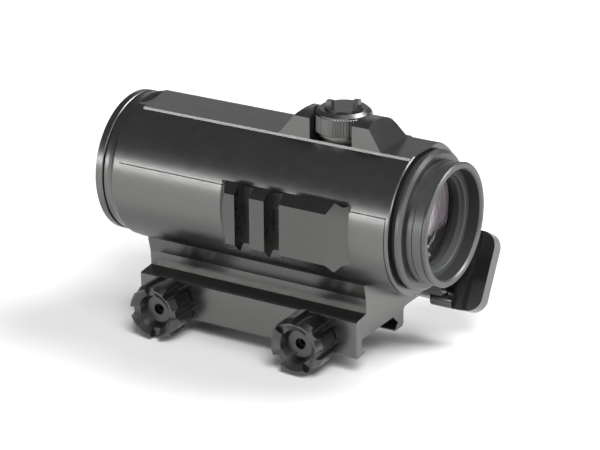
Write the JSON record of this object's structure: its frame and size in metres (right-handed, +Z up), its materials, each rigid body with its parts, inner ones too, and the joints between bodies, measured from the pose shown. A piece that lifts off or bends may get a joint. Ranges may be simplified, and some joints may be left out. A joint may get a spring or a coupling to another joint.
{
  "type": "compact prism red dot sight",
  "caption": "Short tubular prism sight with turrets between protective ears, a side accessory rail and a two-nut rail clamp.",
  "frame": {"origin": "middle of the clamp's seat on the rail: seat face, half the base's length, under the optical axis", "axes": "+X along the optical axis towards the eyepiece, +Y to the windage turret's side, +Z up"},
  "size_m": [0.1106, 0.0649, 0.0786],
  "materials": {
    "housing_black": "matt black anodised",
    "rail_black": "matt black anodised",
    "nut_black": "satin black anodised",
    "screw_steel": "black oxide",
    "bright_steel": "turned, bright",
    "adjuster_brass": "turned",
    "carrier_black": "matt black",
    "coated_glass": "polished, coated",
    "prism_glass": "polished",
    "black_rubber": "matt",
    "emitter_epoxy": "clear red epoxy"
  },
  "bodies": {
    "sight": {"bracket_screws": "screw_steel", "carrier_spring": "bright_steel", "cross_bolts": "screw_steel", "elevation_collar": "bright_steel", "eyepiece_oring": "black_rubber", "half_penta_prism": "prism_glass", "hinge_bracket": "rail_black", "hinge_pin": "bright_steel", "led_emitter": "emitter_epoxy", "lower_saddle": "housing_black", "main_housing": "housing_black", "mount_base": "rail_black", "mount_screws": "screw_steel", "objective_front_lens": "coated_glass", "objective_oring": "black_rubber", "objective_rear_lens": "coated_glass", "objective_ring": "housing_black", "objective_spacer": "carrier_black", "prism_carrier": "carrier_black", "reticle_cell": "carrier_black", "reticle_plate": "prism_glass", "roof_prism": "prism_glass", "side_rail": "rail_black", "side_rail_screws": "screw_steel", "windage_collar": "bright_steel"},
    "clamp_jaw": {"clamp_jaw": "rail_black"},
    "nut_front": {"castle_nut_front": "nut_black"},
    "nut_rear": {"castle_nut_rear": "nut_black"},
    "latch_flap": {"latch_flap": "rail_black"},
    "elevation_cap": {"elevation_cap": "housing_black"},
    "elevation_screw": {"elevation_screw": "adjuster_brass"},
    "windage_cap": {"windage_cap": "housing_black"},
    "windage_screw": {"windage_screw": "adjuster_brass"},
    "eyepiece": {"eyepiece_body": "housing_black", "field_lens": "coated_glass", "eyepiece_spacer": "carrier_black", "eye_lens": "coated_glass", "eye_lens_oring": "black_rubber", "eye_lens_ring": "carrier_black"},
    "lock_ring": {"eyepiece_lock_ring": "housing_black"}
  },
  "joints": [
    {"name": "jaw_slide", "type": "slide", "parent": "sight", "child": "clamp_jaw", "axis": [0, -1, 0], "range_m": [0, 0.0016]},
    {"name": "front_nut_turn", "type": "hinge", "parent": "clamp_jaw", "child": "nut_front", "pos_m": [-0.02765, -0.0175, -0.0015], "axis": [0, -1, 0], "range_deg": [0, 720.5]},
    {"name": "rear_nut_turn", "type": "hinge", "parent": "clamp_jaw", "child": "nut_rear", "pos_m": [0.0224, -0.0175, -0.0015], "axis": [0, -1, 0], "range_deg": [0, 720.5]},
    {"name": "flap_hinge", "type": "hinge", "parent": "sight", "child": "latch_flap", "pos_m": [0.047, 0.0215, 0.0032], "axis": [1, 0, 0], "range_deg": [-70, 0]},
    {"name": "elevation_cap_turn", "type": "hinge", "parent": "sight", "child": "elevation_cap", "pos_m": [0.0254, 0, 0.062], "axis": [0, 0, 1], "continuous": true},
    {"name": "elevation_screw_turn", "type": "hinge", "parent": "sight", "child": "elevation_screw", "pos_m": [0.0254, 0, 0.057], "axis": [0, 0, 1], "range_deg": [-720, 720]},
    {"name": "windage_cap_turn", "type": "hinge", "parent": "sight", "child": "windage_cap", "pos_m": [0.0254, 0.025, 0.037], "axis": [0, 1, 0], "continuous": true},
    {"name": "windage_screw_turn", "type": "hinge", "parent": "sight", "child": "windage_screw", "pos_m": [0.0254, 0.02, 0.037], "axis": [0, 1, 0], "range_deg": [-720, 720]},
    {"name": "diopter_turn", "type": "hinge", "parent": "sight", "child": "eyepiece", "pos_m": [0.056, 0, 0.037], "axis": [1, 0, 0], "range_deg": [-180, 180]},
    {"name": "lock_ring_turn", "type": "hinge", "parent": "sight", "child": "lock_ring", "pos_m": [0.0546, 0, 0.037], "axis": [1, 0, 0], "range_deg": [0, 180]}
  ],
  "couplings": [
    {"joint": "front_nut_turn", "follows": "jaw_slide", "rad_per_m": 7854},
    {"joint": "rear_nut_turn", "follows": "jaw_slide", "rad_per_m": 7854}
  ]
}
